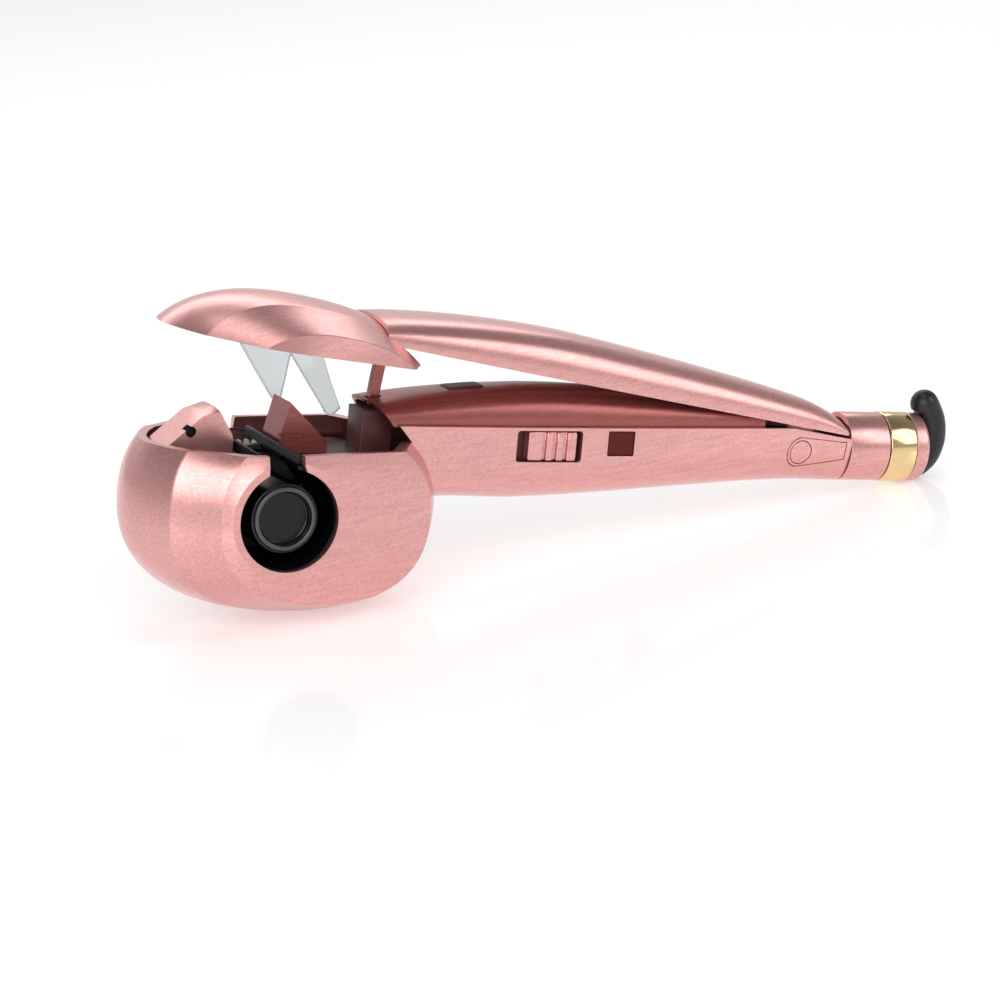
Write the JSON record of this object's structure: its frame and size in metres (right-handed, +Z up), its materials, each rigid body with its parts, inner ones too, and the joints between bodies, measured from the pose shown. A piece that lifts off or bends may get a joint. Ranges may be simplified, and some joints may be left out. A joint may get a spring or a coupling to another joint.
{
  "type": "automatic hair curler",
  "caption": "Handheld curling tool: a round head with a side mouth and a hollow barrel, a tapered handle with a slide switch, and a sprung arm with a domed cap, shown open.",
  "frame": {"origin": "on the ground, in the middle of the small flat that the head rests on", "axes": "+X from the head to the tail, +Z up, -Y out of the chamber's open mouth"},
  "size_m": [0.3139, 0.0726, 0.1128],
  "materials": {
    "rose_shell": "satin pearl lacquer",
    "dark_moulding": "satin lacquer in shade",
    "deck": "smooth moulded",
    "black_plastic": "fine matte",
    "ceramic": "glazed",
    "clear": "clear moulded",
    "gold": "polished gold plating",
    "steel": "plain",
    "silver": "bright edge",
    "acetal": "moulded",
    "board": "solder mask",
    "rubber": "moulded",
    "lens": "smoked and polished",
    "brass": "machined"
  },
  "bodies": {
    "body": {"lower_shell": "rose_shell", "front_wedge": "rose_shell", "pin_cap_near": "rose_shell", "pin_cap_far": "rose_shell", "hinge_cover_near": "rose_shell", "hinge_cover_far": "rose_shell", "tail_sleeve": "rose_shell", "end_ring": "rose_shell", "top_cover": "dark_moulding", "rear_wedge": "dark_moulding", "jaw_deck": "deck", "switch_plate": "deck", "throat_lip_front": "black_plastic", "throat_lip_rear": "black_plastic", "microswitch": "black_plastic", "slide_switch": "black_plastic", "hinge_block": "black_plastic", "tail_core": "black_plastic", "swivel_socket": "black_plastic", "chamber_liner": "ceramic", "heater_barrel": "ceramic", "gold_band": "gold", "thermal_fuse": "steel", "idler_axle": "steel", "drive_motor": "steel", "drive_chassis": "steel", "chassis_screw_1": "steel", "chassis_screw_2": "steel", "chassis_screw_3": "steel", "switch_bracket": "steel", "plunger_spring": "steel", "hinge_pin": "steel", "return_spring": "steel", "barrel_end_ring": "silver", "heater_core": "acetal", "control_board": "board", "closing_bumper": "rubber", "indicator_lens": "lens"},
    "arm": {"arm_shell": "rose_shell", "head_cap": "rose_shell", "cap_liner": "deck", "cap_bracket": "steel", "cap_screw_1": "steel", "cap_screw_2": "steel", "guide_fork": "clear", "actuator_rod": "dark_moulding"},
    "rotor": {"rotor": "black_plastic", "rotor_gear": "acetal"},
    "idler": {"idler_gear": "acetal"},
    "pinion": {"motor_pinion": "brass"},
    "switch_knob": {"slide_knob": "rose_shell"},
    "plunger": {"start_plunger": "acetal"},
    "swivel": {"strain_relief": "rubber"}
  },
  "joints": [
    {"name": "arm_hinge", "type": "hinge", "parent": "body", "child": "arm", "pos_m": [0.18027, 0, 0.02144], "axis": [0, 1, 0], "range_deg": [-9.5, 0], "stiffness_Nm_per_rad": 0.5, "springref_deg": 34.38},
    {"name": "rotor_spin", "type": "hinge", "parent": "body", "child": "rotor", "pos_m": [-0.0215, 0, 0.03939], "axis": [0, 1, 0], "continuous": true},
    {"name": "idler_spin", "type": "hinge", "parent": "body", "child": "idler", "pos_m": [0.00011, 0, 0.02642], "axis": [0, 1, 0], "continuous": true},
    {"name": "pinion_spin", "type": "hinge", "parent": "body", "child": "pinion", "pos_m": [0.00093, 0, 0.01474], "axis": [0, 1, 0], "continuous": true},
    {"name": "switch_slide", "type": "slide", "parent": "body", "child": "switch_knob", "axis": [0.9817, 0, -0.1904], "range_m": [-0.004, 0.0018]},
    {"name": "plunger_slide", "type": "slide", "parent": "body", "child": "plunger", "axis": [0.1904, 0, 0.9817], "range_m": [-0.0024, 0.0001], "deforming": ["plunger_spring"]},
    {"name": "swivel_turn", "type": "hinge", "parent": "body", "child": "swivel", "pos_m": [0.2328, 0, 0.01125], "axis": [0.9817, 0, -0.1904], "continuous": true}
  ],
  "couplings": [
    {"joint": "idler_spin", "follows": "rotor_spin", "ratio": -2.5},
    {"joint": "pinion_spin", "follows": "rotor_spin", "ratio": 4},
    {"joint": "plunger_slide", "follows": "arm_hinge", "m_per_rad": 0.01387}
  ]
}
